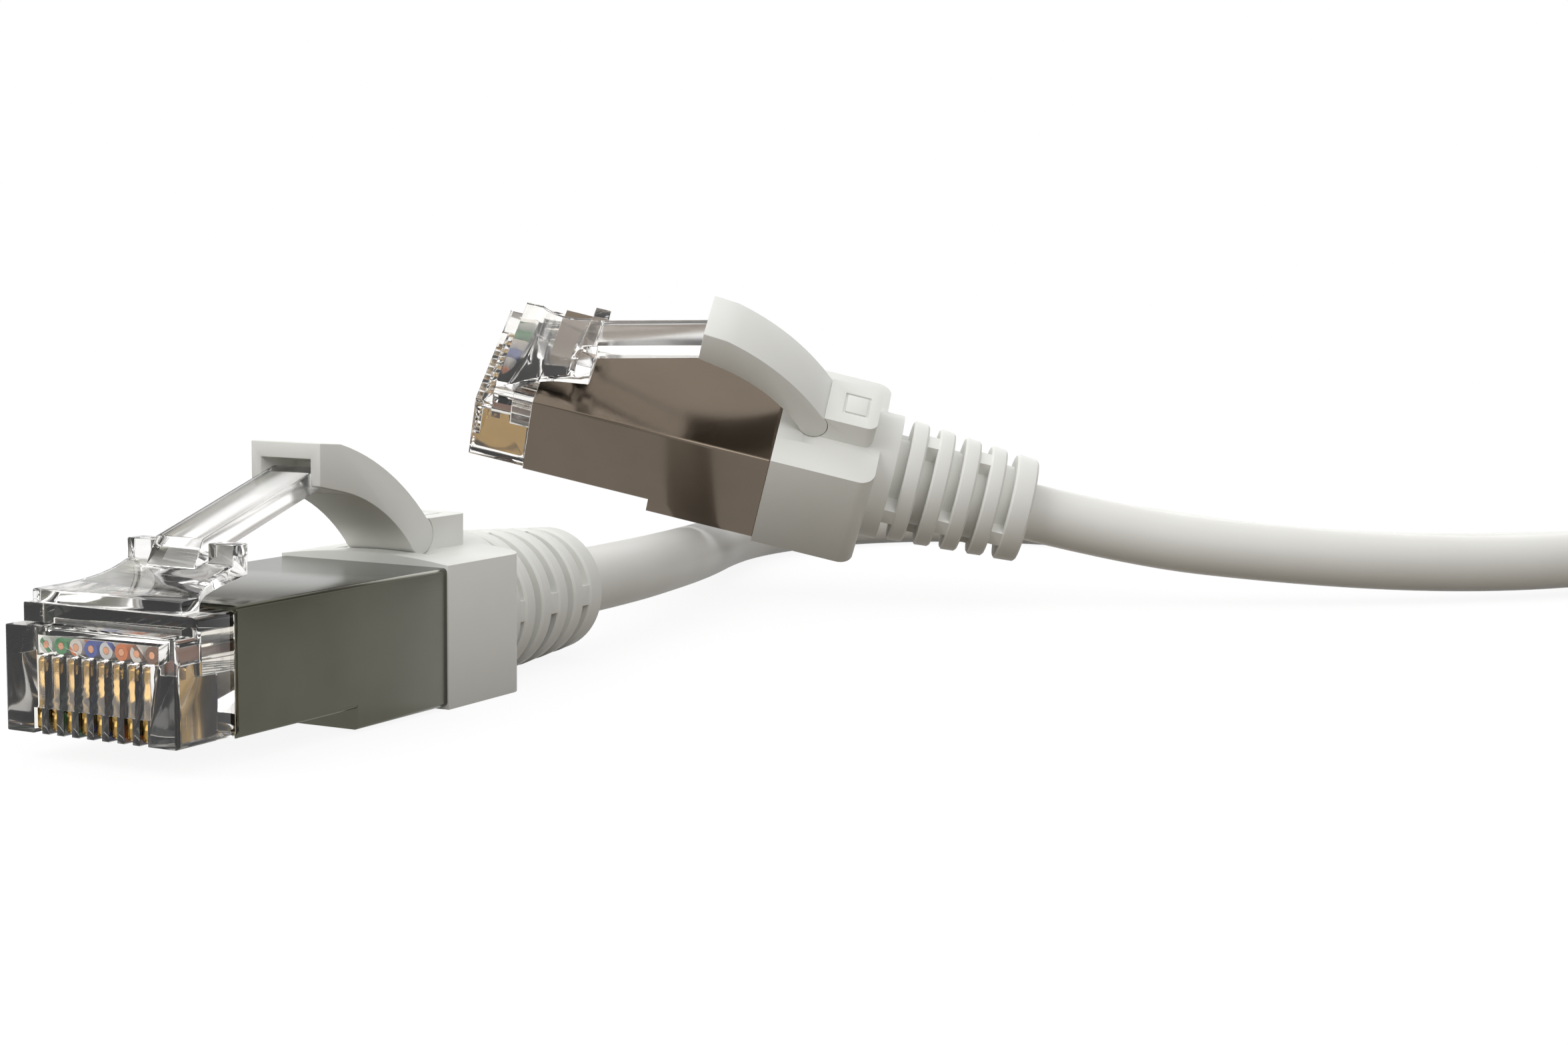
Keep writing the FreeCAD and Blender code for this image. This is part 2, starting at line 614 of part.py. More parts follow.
def coil_gap():
    """Least gap between the coil's turns, measured on points."""
    total = coil_point(0)[2]
    steps = 240
    points = [coil_point(total * k / steps)[0] for k in range(steps + 1)]
    apart = int(steps * math.pi / total)
    least = min((points[i] - points[j]).Length for i in range(steps) for j in range(i + apart, steps + 1))
    return least - CABLE_D


def make_tie():
    """Strap round the coil's two layers at one place."""
    total = coil_point(0)[2]
    inner = COIL_INNER_R - CABLE_R - TIE_SLACK
    outer = COIL_INNER_R + LAYER * total / (4 * math.pi) + CABLE_R + TIE_SLACK
    top = CABLE_D + LAYER + TIE_THICK + TIE_SLACK
    strap = block(inner - TIE_THICK, outer + TIE_THICK, -TIE_WIDE / 2, TIE_WIDE / 2, 0, top + TIE_THICK)
    edges = [e for e in strap.Edges if abs(e.tangentAt(e.FirstParameter).y) > 0.99 and e.CenterOfMass.z > 1]
    strap = strap.makeFillet(1.2, edges)
    strap = strap.cut(block(inner, outer, -TIE_WIDE, TIE_WIDE, TIE_THICK, top))
    strap.rotate(Vector(0, 0, 0), Vector(0, 0, 1), TIE_AT)
    return strap.translated(Vector(COIL_X, COIL_Y, 0))


def cable_tube(points, name):
    """One free stretch of the cable; prints its bends, length and volume ratio."""
    radii = []
    edges = route_edges(points, radii)
    solid = tube(edges, CABLE_R, points[0], (points[1] - points[0]).normalize())
    length = sum(edge.Length for edge in edges)
    ratio = solid.Volume / (math.pi * CABLE_R ** 2 * length)
    print(name, "radii", [round(r, 1) for r in radii], "length", round(length, 1), "volume ratio", round(ratio, 4))
    return solid, length


def cable_pieces():
    """The free cable: a stretch from each plug, and the coil with its tie."""
    exit_a = PLACE_A.multVec(Vector(0, RELIEF_END, AXIS_Z))
    out_a = PLACE_A.multVec(Vector(0, RELIEF_END + EXIT_RUN, AXIS_Z))
    exit_b = PLACE_B.multVec(Vector(0, RELIEF_END, AXIS_Z))
    out_b = PLACE_B.multVec(Vector(0, RELIEF_END + EXIT_RUN, AXIS_Z))
    start, ahead, total = coil_point(0)
    end, onward, _ = coil_point(total)
    lead_in = start - ahead * LEAD_IN
    lead_out = end + onward * LEAD_OUT
    route_a = [exit_a, out_a] + [Vector(*p) for p in ROUTE_A] + [lead_in, start]
    route_b = [end, lead_out] + [Vector(*p) for p in ROUTE_B] + [out_b, exit_b]
    tube_a, length_a = cable_tube(route_a, "cable_from_a")
    tube_b, length_b = cable_tube(route_b, "cable_to_b")
    edges = coil_edges()
    coil = tube(edges, CABLE_R, start, ahead)
    length = sum(edge.Length for edge in edges)
    ratio = coil.Volume / (math.pi * CABLE_R ** 2 * length)
    print("cable_coil length", round(length, 1), "volume ratio", round(ratio, 4),
          "least gap", round(coil_gap(), 2))
    print("free cable", round(length_a + length_b + length, 1))
    return {"cable_from_a": tube_a, "cable_coil": coil, "cable_to_b": tube_b, "coil_tie": make_tie()}


def main():
    """Build every piece and write one STEP file for each."""
    os.makedirs("parts", exist_ok=True)
    nodes = {}
    for letter, place in (("a", PLACE_A), ("b", PLACE_B)):
        for name, shape in plug_pieces().items():
            placed = shape.copy()
            placed.Placement = place.multiply(placed.Placement)
            nodes[name + "_" + letter] = placed
    nodes.update(cable_pieces())
    for name, shape in nodes.items():
        if not shape.isValid():
            print("not valid:", name)
        shape.exportStep("parts/" + name + ".step")
    print(len(nodes), "nodes")


main()
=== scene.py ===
"""Looks of a shielded network patch cable: two latching plugs, their boots and one grey cable."""
import logging
import math
from dataclasses import dataclass
from enum import Enum
from typing import Optional, Union

import bpy
from mathutils import Matrix, Vector


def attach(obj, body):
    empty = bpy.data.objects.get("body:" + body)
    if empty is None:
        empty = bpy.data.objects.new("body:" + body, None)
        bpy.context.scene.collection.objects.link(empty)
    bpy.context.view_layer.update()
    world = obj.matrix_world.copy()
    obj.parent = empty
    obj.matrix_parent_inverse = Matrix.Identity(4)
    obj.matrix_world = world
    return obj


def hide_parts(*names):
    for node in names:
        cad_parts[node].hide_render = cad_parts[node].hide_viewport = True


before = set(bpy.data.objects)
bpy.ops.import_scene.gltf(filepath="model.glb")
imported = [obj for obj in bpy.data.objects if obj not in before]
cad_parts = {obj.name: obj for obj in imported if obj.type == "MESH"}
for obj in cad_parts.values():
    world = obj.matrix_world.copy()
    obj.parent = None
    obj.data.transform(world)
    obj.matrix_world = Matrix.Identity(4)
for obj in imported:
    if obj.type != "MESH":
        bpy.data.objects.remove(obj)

LOG = logging.getLogger("patch_cable")
MM = 0.001
ROOT = "cable_and_plugs"
WHITE = (1.0, 1.0, 1.0)

MERGE_WITHIN = 2e-6
FLAT_WITHIN = math.radians(1.0)
BEVEL_FROM = math.radians(38)
SMOOTH_UNDER = math.radians(32)
EDGE_SEGMENTS = 2

Colour = tuple[float, float, float]
Point = tuple[float, float, float]
Number = Union[float, "Value"]


# Shader graph tools


class Value:
    """One socket of a shader graph, with arithmetic that adds Math nodes."""

    def __init__(self, graph: "Graph", socket: bpy.types.NodeSocket) -> None:
        """Wraps a socket.

        Args:
            graph: the graph that the socket belongs to.
            socket: the output socket.
        """
        self.graph = graph
        self.socket = socket

    def math(self, operation: str, first: Number, second: Number) -> "Value":
        """Adds one Math node.

        Args:
            operation: the Math node's operation.
            first: its first number or link.
            second: its second number or link.

        Returns:
            The node's result.
        """
        return self.graph.add("ShaderNodeMath", {"operation": operation}, {0: first, 1: second})

    def __add__(self, other: Number) -> "Value":
        """Sum."""
        return self.math("ADD", self, other)

    def __radd__(self, other: Number) -> "Value":
        """Sum with a plain number first."""
        return self.math("ADD", other, self)

    def __sub__(self, other: Number) -> "Value":
        """Difference."""
        return self.math("SUBTRACT", self, other)

    def __rsub__(self, other: Number) -> "Value":
        """Difference from a plain number."""
        return self.math("SUBTRACT", other, self)

    def __mul__(self, other: Number) -> "Value":
        """Product."""
        return self.math("MULTIPLY", self, other)

    def __rmul__(self, other: Number) -> "Value":
        """Product with a plain number first."""
        return self.math("MULTIPLY", other, self)

    def __or__(self, other: Number) -> "Value":
        """The larger of two values."""
        return self.math("MAXIMUM", self, other)

    def __gt__(self, other: Number) -> "Value":
        """Mask of where this is greater."""
        return self.math("GREATER_THAN", self, other)


class Graph:
    """Builds the nodes of one material or world."""

    def __init__(self, tree: bpy.types.NodeTree) -> None:
        """Empties a node tree.

        Args:
            tree: the tree to fill.
        """
        self.tree = tree
        tree.nodes.clear()

    def add(
        self,
        kind: str,
        settings: Optional[dict] = None,
        inputs: Optional[dict] = None,
        output: Union[int, str] = 0,
    ) -> Value:
        """Adds a node.

        Args:
            kind: the node's type.
            settings: its properties, and "stops" for a colour ramp.
            inputs: numbers, colours or links of its sockets.
            output: the output that is wanted.

        Returns:
            That output.
        """
        node = self.tree.nodes.new(kind)
        for name, value in (settings or {}).items():
            if name == "stops":
                ramp = node.color_ramp.elements
                while len(ramp) < len(value):
                    ramp.new(0.5)
                for element, (place, colour) in zip(ramp, value):
                    element.position = place
                    element.color = (*colour, 1.0)
            else:
                setattr(node, name, value)
        for name, value in (inputs or {}).items():
            self.connect(node.inputs[name], value)
        return Value(self, node.outputs[output])

    def connect(self, socket: bpy.types.NodeSocket, value: object) -> None:
        """Sets or links an input.

        Args:
            socket: the input socket.
            value: a number, a colour or a wrapped output.
        """
        if isinstance(value, Value):
            self.tree.links.new(value.socket, socket)
        elif isinstance(value, tuple) and len(value) == 3 and socket.type == "RGBA":
            socket.default_value = (*value, 1.0)
        else:
            socket.default_value = value

    def place(self, stretch: Point = (1.0, 1.0, 1.0), turn: Point = (0.0, 0.0, 0.0)) -> Value:
        """Object coordinates, turned and stretched.

        Args:
            stretch: scale along the turned axes.
            turn: turn of the plug that the pattern lies on, in radians.

        Returns:
            The pattern's coordinates.
        """
        coords = self.add("ShaderNodeTexCoord", output="Object")
        turned = self.add("ShaderNodeMapping", {"vector_type": "TEXTURE"},
                          {"Vector": coords, "Rotation": turn})
        return self.add("ShaderNodeMapping", {"vector_type": "POINT"},
                        {"Vector": turned, "Scale": stretch})

    def noise(self, coords: Value, scale: float, detail: float = 2.0) -> Value:
        """Noise from 0 to 1 at so many cells a metre."""
        return self.add("ShaderNodeTexNoise", None,
                        {"Vector": coords, "Scale": scale, "Detail": detail})

    def mix(self, share: Number, low: Union[Colour, Value], high: Union[Colour, Value]) -> Value:
        """Mixes two colours.

        Args:
            share: share of the second colour.
            low: the first colour.
            high: the second colour.

        Returns:
            The mixed colour.
        """
        node = self.tree.nodes.new("ShaderNodeMix")
        node.data_type = "RGBA"
        self.connect(node.inputs["Factor"], share)
        colours = [s for s in node.inputs if s.type == "RGBA"]
        self.connect(colours[0], low)
        self.connect(colours[1], high)
        return Value(self, next(s for s in node.outputs if s.type == "RGBA"))

    def bump(self, height: Value, depth: float, strength: float = 1.0) -> Value:
        """A normal from a height, with its depth in metres."""
        return self.add("ShaderNodeBump", None,
                        {"Height": height, "Distance": depth, "Strength": strength})

    def surface(self, inputs: dict) -> None:
        """Ends the graph in a Principled shader with these inputs."""
        shader = self.add("ShaderNodeBsdfPrincipled", None, inputs)
        self.add_output("ShaderNodeOutputMaterial", shader)

    def add_output(self, kind: str, shader: Value) -> None:
        """Ends the graph in an output node."""
        node = self.tree.nodes.new(kind)
        self.tree.links.new(shader.socket, node.inputs["Surface"])


def new_material(name: str) -> tuple[bpy.types.Material, Graph]:
    """Makes a material.

    Args:
        name: its name.

    Returns:
        The material and its empty graph.
    """
    material = bpy.data.materials.new(name)
    material.use_nodes = True
    return material, Graph(material.node_tree)


# Finishes


@dataclass(frozen=True)
class ClearPlastic:
    """Clear polycarbonate of the nose, latch and load bar."""

    name: str
    tint: Colour = (0.98, 0.97, 0.95)
    amber: Colour = (0.95, 0.92, 0.86)
    roughness: float = 0.03
    haze: float = 0.03
    turn: Point = (0.0, 0.0, 0.0)
    stretch: Point = (1.0, 0.22, 1.0)
    flow: float = 700.0
    flow_depth: float = 6e-6
    flow_strength: float = 0.12
    streaks: float = 2600.0
    amber_share: float = 0.6
    ior: float = 1.52
    frost: float = 0.0
    frost_from: float = 0.0
    frost_over: float = 2.0 * MM

    def material(self) -> bpy.types.Material:
        """Glass-like shader with faint flow marks and haze drawn out along the plug.

        Returns:
            The material.
        """
        material, graph = new_material(self.name)
        place = graph.place(self.stretch, self.turn)
        flow = graph.noise(place, self.flow, 1.0)
        streak = graph.noise(place, self.streaks, 2.0)
        along = graph.add("ShaderNodeSeparateXYZ", None,
                          {"Vector": graph.place(turn=self.turn)}, "Y")
        frosted = graph.add("ShaderNodeMapRange", None, {
            "Value": along,
            "From Min": self.frost_from,
            "From Max": self.frost_from + self.frost_over,
        })
        graph.surface({
            "Base Color": graph.mix(streak * self.amber_share, self.tint, self.amber),
            "Roughness": self.roughness + streak * self.haze + frosted * self.frost,
            "IOR": self.ior,
            "Transmission Weight": 1.0,
            "Normal": graph.bump(flow, self.flow_depth, self.flow_strength),
        })
        return material


@dataclass(frozen=True)
class BareMetal:
    """A metal surface, with rolling or stamping marks along one axis."""

    name: str
    colour: Colour
    dark: Colour
    roughness: float
    marks: float = 0.06
    turn: Point = (0.0, 0.0, 0.0)
    stretch: Point = (1.0, 0.06, 1.0)
    lines: float = 9000.0
    line_depth: float = 2e-6
    line_strength: float = 0.3
    stains: float = 260.0
    stain_gloss: float = 0.04

    def material(self) -> bpy.types.Material:
        """Metal shader whose gloss and colour vary in fine lines.

        Returns:
            The material.
        """
        material, graph = new_material(self.name)
        place = graph.place(self.stretch, self.turn)
        lines = graph.noise(place, self.lines, 3.0)
        stain = graph.noise(graph.place(), self.stains, 2.0)
        gloss = self.roughness + (lines - 0.5) * self.marks + (stain - 0.5) * self.stain_gloss
        graph.surface({
            "Base Color": graph.mix(stain, self.colour, self.dark),
            "Metallic": 1.0,
            "Roughness": gloss,
            "Normal": graph.bump(lines, self.line_depth, self.line_strength),
        })
        return material


@dataclass(frozen=True)
class Insulation:
    """Thin polyethylene round a wire, plain or pale with a coloured stripe."""

    name: str
    colour: Colour
    stripe: Colour
    turn: Point
    stripe_scale: float = 390.0
    stripe_share: float = 0.12
    patches: float = 1800.0
    patch_depth: float = 1e-5
    patch_strength: float = 0.3
    roughness: float = 0.32
    patch_gloss: float = 0.12
    worn_share: float = 0.9

    def worn(self, colour: Colour) -> Colour:
        """A colour in the darker patches."""
        return tuple(self.worn_share * part for part in colour)

    def material(self) -> bpy.types.Material:
        """Satin plastic with a little unevenness and a slanting stripe.

        Returns:
            The material.
        """
        material, graph = new_material(self.name)
        uneven = graph.noise(graph.place(), self.patches, 2.0)
        along = graph.place(turn=self.turn)
        wave = graph.add("ShaderNodeTexWave", {"bands_direction": "DIAGONAL"},
                         {"Vector": along, "Scale": self.stripe_scale})
        mask = wave > 1.0 - self.stripe_share
        striped = graph.mix(mask, self.colour, self.stripe)
        worn = graph.mix(mask, self.worn(self.colour), self.worn(self.stripe))
        graph.surface({
            "Base Color": graph.mix(uneven, striped, worn),
            "Roughness": self.roughness + uneven * self.patch_gloss,
            "Normal": graph.bump(uneven, self.patch_depth, self.patch_strength),
        })
        return material


@dataclass(frozen=True)
class MouldedPlastic:
    """Moulded plastic or PVC with a fine grain."""

    name: str
    colour: Colour
    shade: Colour
    roughness: float = 0.52
    grain: float = 5200.0
    grain_depth: float = 6e-6
    grain_strength: float = 0.5
    grain_gloss: float = 0.12
    clouds: float = 210.0
    cloud_gloss: float = 0.06
    specular: float = 0.25

    def material(self) -> bpy.types.Material:
        """Satin shader with grain in its gloss and surface.

        Returns:
            The material.
        """
        material, graph = new_material(self.name)
        place = graph.place()
        grain = graph.noise(place, self.grain, 3.0)
        cloud = graph.noise(place, self.clouds, 2.0)
        gloss = self.roughness + (grain - 0.5) * self.grain_gloss + (cloud - 0.5) * self.cloud_gloss
        graph.surface({
            "Base Color": graph.mix(cloud, self.colour, self.shade),
            "Roughness": gloss,
            "Specular IOR Level": self.specular,
            "Normal": graph.bump(grain, self.grain_depth, self.grain_strength),
        })
        return material


@dataclass(frozen=True)
class WovenTape:
    """Woven fastening tape of the coil's tie."""

    name: str
    colour: Colour = (0.035, 0.035, 0.038)
    shade: Colour = (0.012, 0.012, 0.013)
    threads: float = 160.0
    pile: float = 3200.0
    weave_share: float = 0.7
    depth: float = 0.12 * MM
    strength: float = 0.6
    roughness: float = 0.75
    pile_gloss: float = 0.15
    sheen: float = 0.3

    def material(self) -> bpy.types.Material:
        """Soft dark cloth with crossing threads.

        Returns:
            The material.
        """
        material, graph = new_material(self.name)
        place = graph.place()
        weft = graph.add("ShaderNodeTexWave", {"bands_direction": "Z"},
                         {"Vector": place, "Scale": self.threads})
        warp = graph.add("ShaderNodeTexWave", {"bands_direction": "DIAGONAL"},
                         {"Vector": place, "Scale": self.threads})
        pile = graph.noise(place, self.pile, 2.0)
        height = (weft | warp) * self.weave_share + pile * (1.0 - self.weave_share)
        graph.surface({
            "Base Color": graph.mix(height, self.shade, self.colour),
            "Roughness": self.roughness + pile * self.pile_gloss,
            "Sheen Weight": self.sheen,
            "Normal": graph.bump(height, self.depth, self.strength),
        })
        return material


class Wire(Enum):
    """Colours of the eight wires."""

    WHITE_GREEN = (0.78, 0.82, 0.78)
    GREEN = (0.03, 0.30, 0.09)
    WHITE_ORANGE = (0.84, 0.79, 0.74)
    BLUE = (0.02, 0.07, 0.46)
    WHITE_BLUE = (0.78, 0.80, 0.84)
    ORANGE = (0.80, 0.20, 0.02)
    WHITE_BROWN = (0.82, 0.79, 0.76)
    BROWN = (0.22, 0.09, 0.04)


class Metal(Enum):
    """Colour, darker colour and roughness of the small metal pieces."""

    COPPER = ((0.85, 0.42, 0.24), (0.70, 0.33, 0.18), 0.28)
    CRIMP = ((0.62, 0.58, 0.50), (0.50, 0.46, 0.38), 0.34)
    GOLD = ((0.44, 0.29, 0.095), (0.30, 0.185, 0.055), 0.18)


GREY_BOOT = MouldedPlastic("boot_pvc", (0.755, 0.76, 0.725), (0.72, 0.72, 0.685))
GREY_JACKET = MouldedPlastic("jacket_pvc", (0.75, 0.75, 0.715), (0.72, 0.715, 0.68), roughness=0.45)


# Work on pieces


def deselect() -> None:
    """Leaves nothing selected."""
    for thing in bpy.context.selected_objects:
        thing.select_set(False)


def pick(piece: bpy.types.Object) -> None:
    """Selects one piece alone and makes it active.

    Args:
        piece: the piece.
    """
    deselect()
    piece.select_set(True)
    bpy.context.view_layer.objects.active = piece


def dress(piece: bpy.types.Object, material: bpy.types.Material) -> None:
    """Gives a whole piece one material.

    Args:
        piece: the mesh or curve to dress.
        material: its finish.
    """
    piece.data.materials.clear()
    piece.data.materials.append(material)
    if piece.type == "MESH":
        for face in piece.data.polygons:
            face.material_index = 0


def refine(
    node: str,
    body: str,
    material: bpy.types.Material,
    edge: float = 0.0,
) -> None:
    """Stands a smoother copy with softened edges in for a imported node.

    Args:
        node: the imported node.
        body: the body that it rides on.
        material: its finish.
        edge: width of the softened edges, in metres; 0 leaves them sharp.
    """
    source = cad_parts[node]
    piece = bpy.data.objects.new(node + "_look", source.data.copy())
    bpy.context.scene.collection.objects.link(piece)
    pick(piece)
    bpy.ops.object.mode_set(mode="EDIT")
    bpy.ops.mesh.select_all(action="SELECT")
    bpy.ops.mesh.remove_doubles(threshold=MERGE_WITHIN)
    bpy.ops.mesh.dissolve_limited(angle_limit=FLAT_WITHIN)
    bpy.ops.object.mode_set(mode="OBJECT")
    if edge:
        bevel = piece.modifiers.new("edges", "BEVEL")
        bevel.width = edge
        bevel.segments = EDGE_SEGMENTS
        bevel.limit_method = "ANGLE"
        bevel.angle_limit = BEVEL_FROM
        bpy.ops.object.modifier_apply(modifier=bevel.name)
    bpy.ops.object.shade_smooth_by_angle(angle=SMOOTH_UNDER)
    dress(piece, material)
    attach(piece, body)
    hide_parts(node)
    LOG.info("%s stands in for %s", piece.name, node)


# Sub-assemblies


@dataclass
class Plug:
    """One shielded plug with its latch, boot and the jacket inside it.

    The turn is the plug's own, in radians, and nose_at is the place of its nose along the
    turned length, so that the latch's tail, but not its root, is frosted.
    """

    letter: str
    turn: Point
    nose_at: float
    # Plate colours hold painted reflection: one sheet metal, lighter on plug B where it mirrors the
    # floor, darker on plug A.
    plate: Colour
    plate_dark: Colour
    tail_at: float = 7.4 * MM
    soft_edge: float = 0.06 * MM
    sheet_edge: float = 0.08 * MM
    clear_edge: float = 0.09 * MM
    plate_roughness: float = 0.2
    latch_tint: Colour = (0.99, 0.99, 0.98)
    latch_amber: Colour = (0.97, 0.95, 0.92)
    latch_frost: float = 0.13

    def name(self, piece: str) -> str:
        """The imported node's name of one of this plug's pieces."""
        return piece + "_" + self.letter

    def metal(self, kind: Metal) -> bpy.types.Material:
        """One of the small pieces' metals, with its marks along this plug."""
        return BareMetal(self.name(kind.name.lower()), *kind.value, turn=self.turn).material()

    def dress_inside(self) -> None:
        """Wires, bare ends, crimp sleeve and insert."""
        for wire in Wire:
            node = self.name("wire_" + wire.name.lower())
            stripe = Wire[wire.name.removeprefix("WHITE_")].value
            finish = Insulation(node, wire.value, stripe, self.turn)
            dress(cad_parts[node], finish.material())
        insert = MouldedPlastic(self.name("insert"), (0.10, 0.10, 0.10), (0.07, 0.07, 0.07), 0.5)
        dress(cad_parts[self.name("wire_cores")], self.metal(Metal.COPPER))
        dress(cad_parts[self.name("ferrule")], self.metal(Metal.CRIMP))
        dress(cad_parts[self.name("rear_collar")], insert.material())
        dress(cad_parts[self.name("jacket")], GREY_JACKET.material())
        LOG.info("inside of plug %s dressed", self.letter)

    def dress_contacts(self) -> None:
        """Gold blades in the nose."""
        refine(self.name("contacts"), ROOT, self.metal(Metal.GOLD))

    def dress_clear(self) -> None:
        """Clear nose, load bar and latch."""
        clear = ClearPlastic(self.name("clear"), turn=self.turn).material()
        frosted = ClearPlastic(
            self.name("latch_clear"),
            self.latch_tint,
            self.latch_amber,
            turn=self.turn,
            frost=self.latch_frost,
            frost_from=self.nose_at + self.tail_at,
        ).material()
        refine(self.name("housing"), ROOT, clear, self.clear_edge)
        refine(self.name("load_bar"), ROOT, clear)
        refine(self.name("latch"), "latch_" + self.letter, frosted, self.clear_edge)

    def dress_shield(self) -> None:
        """Plated sheet sleeve."""
        # The plate's two colours are its stains plus painted reflection that differs between the
        # plugs.
        plate = BareMetal(self.name("plate"), self.plate, self.plate_dark, self.plate_roughness,
                          turn=self.turn)
        refine(self.name("shield"), ROOT, plate.material(), self.sheet_edge)

    def dress_boot(self) -> None:
        """Boot and its lever."""
        pvc = GREY_BOOT.material()
        refine(self.name("boot"), ROOT, pvc, self.soft_edge)
        refine(self.name("boot_lever"), "lever_" + self.letter, pvc, self.soft_edge)

    def build(self) -> None:
        """Dresses the whole plug."""
        self.dress_inside()
        self.dress_contacts()
        self.dress_clear()
        self.dress_shield()
        self.dress_boot()
        LOG.info("plug %s dressed", self.letter)


@dataclass
class Cable:
    """The free cable: out of plug A, round the coil and into plug B.

    Places and sizes are in millimetres; the length, in metres, is not used.
    """

    diameter: float = 4.5
    length: float = 1.0
    exit_a: Point = (0.0, 16.44, 4.5)
    out_a: Point = (0.0, 25.44, 4.5)
    route_a: tuple = (
        (-3.0, 38.0, 4.0), (-7.2, 50.3, 3.3), (-12.0, 62.5, 2.6), (-14.5, 74.5, 2.3),
        (-12.5, 85.5, 2.25), (-5.5, 94.0, 2.25), (5.0, 97.0, 2.25), (15.0, 93.5, 2.25),
        (22.5, 87.6, 2.25), (29.8, 83.4, 2.25), (37.3, 82.4, 2.25), (44.6, 84.4, 2.25),
        (50.4, 89.2, 2.25), (55.2, 94.4, 2.25), (62.0, 97.2, 2.3), (69.8, 97.4, 2.35),
        (78.0, 94.8, 2.45), (87.0, 90.4, 2.6),
    )
    route_b: tuple = (
        (82.3, 77.6, 7.4), (80.3, 83.9, 6.5), (75.8, 88.8, 5.4), (69.7, 91.3, 4.4),
        (63.1, 91.1, 3.5), (57.2, 88.2, 2.9), (50.5, 79.9, 2.8), (43.1, 72.6, 3.2),
        (34.6, 66.6, 4.0),
    )
    out_b: Point = (25.645, 61.377, 5.139)
    exit_b: Point = (17.802, 57.480, 7.209)
    centre: tuple = (103.2, 50.4)
    inner: float = 16.9
    turns: int = 5
    angle_in: float = 75.0
    angle_out: float = 149.0
    layer: float = 5.1
    strap: float = 0.45
    lead_in: float = 11.0
    lead_out: float = 6.5
    per_turn: int = 18
    rounds: int = 7
    order: int = 3
    smooth: int = 8
    name: str = "cable"

    def coil_point(self, turned: float) -> tuple[Vector, Vector]:
        """Place and heading on the coil, clockwise from above.

        Args:
            turned: how far round, in radians.

        Returns:
            The place and the unit heading, in millimetres.
        """
        past = turned - self.total() / 2
        angle = math.radians(self.angle_in) - turned
        radius = self.inner + self.layer * abs(past) / (2 * math.pi)
        grow = math.copysign(self.layer / (2 * math.pi), past)
        climb = min(max(past / math.pi + 0.5, 0.0), 1.0)
        height = self.diameter / 2 + self.strap + self.layer * (1 - math.cos(math.pi * climb)) / 2
        place = Vector((self.centre[0] + radius * math.cos(angle),
                        self.centre[1] + radius * math.sin(angle), height))
        heading = Vector((grow * math.cos(angle) + radius * math.sin(angle),
                          grow * math.sin(angle) - radius * math.cos(angle), 0.0))
        return place, heading.normalized()

    def total(self) -> float:
        """Radians that the coil turns."""
        return math.radians(self.angle_in - self.angle_out + 360 * self.turns)

    def points(self) -> list[Vector]:
        """Lists the route's control points.

        Returns:
            The points from plug A to plug B, in millimetres.
        """
        start, ahead = self.coil_point(0.0)
        end, onward = self.coil_point(self.total())
        steps = round(self.total() / (2 * math.pi) * self.per_turn)
        coil = [self.coil_point(self.total() * k / steps)[0] for k in range(steps + 1)]
        first = [Vector(p) for p in (self.exit_a, self.out_a, *self.route_a)]
        last = [Vector(p) for p in (*self.route_b, self.out_b, self.exit_b)]
        entry = start - ahead * self.lead_in
        leaving = end + onward * self.lead_out
        return [*first, entry, *coil, leaving, *last]

    def build(self, tie: bpy.types.Object) -> None:
        """Makes the cable as one smooth curve.

        Args:
            tie: the strap round its coil; not used.
        """
        points = self.points()
        curve = bpy.data.curves.new(self.name, "CURVE")
        curve.dimensions = "3D"
        curve.bevel_depth = self.diameter / 2 * MM
        curve.bevel_resolution = self.rounds
        spline = curve.splines.new("NURBS")
        spline.points.add(len(points) - 1)
        for control, point in zip(spline.points, points):
            control.co = (*(point * MM), 1.0)
        spline.order_u = self.order
        spline.use_endpoint_u = True
        spline.resolution_u = self.smooth
        cable = bpy.data.objects.new(self.name, curve)
        bpy.context.scene.collection.objects.link(cable)
        dress(cable, GREY_JACKET.material())
        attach(cable, ROOT)
        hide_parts("cable_from_a", "cable_coil", "cable_to_b")
        tuple(points[0] * MM)
        LOG.info("cable made of %d points", len(points))


@dataclass
class CoilTie:
    """Strap round the coil."""

    node: str = "coil_tie"

    def build(self) -> bpy.types.Object:
        """Dresses the strap.

        Returns:
            The strap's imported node.
        """
        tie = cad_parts[self.node]
        dress(tie, WovenTape("tie_tape").material())
        LOG.info("strap dressed")
        return tie


# Studio


@dataclass(frozen=True)
class Lamp:
    """A soft rectangular lamp: its place and aim in metres, its sides and its watts."""

    name: str
    at: Point
    aim: Point
    size: tuple[float, float]
    power: float

    def build(self) -> None:
        """Hangs the lamp."""
        data = bpy.data.lights.new(self.name, "AREA")
        data.shape = "RECTANGLE"
        data.size, data.size_y = self.size
        data.energy = self.power
        lamp = bpy.data.objects.new(self.name, data)
        lamp.location = self.at
        towards = Vector(self.aim) - Vector(self.at)
        lamp.rotation_euler = towards.to_track_quat("-Z", "Y").to_euler()
        bpy.context.scene.collection.objects.link(lamp)


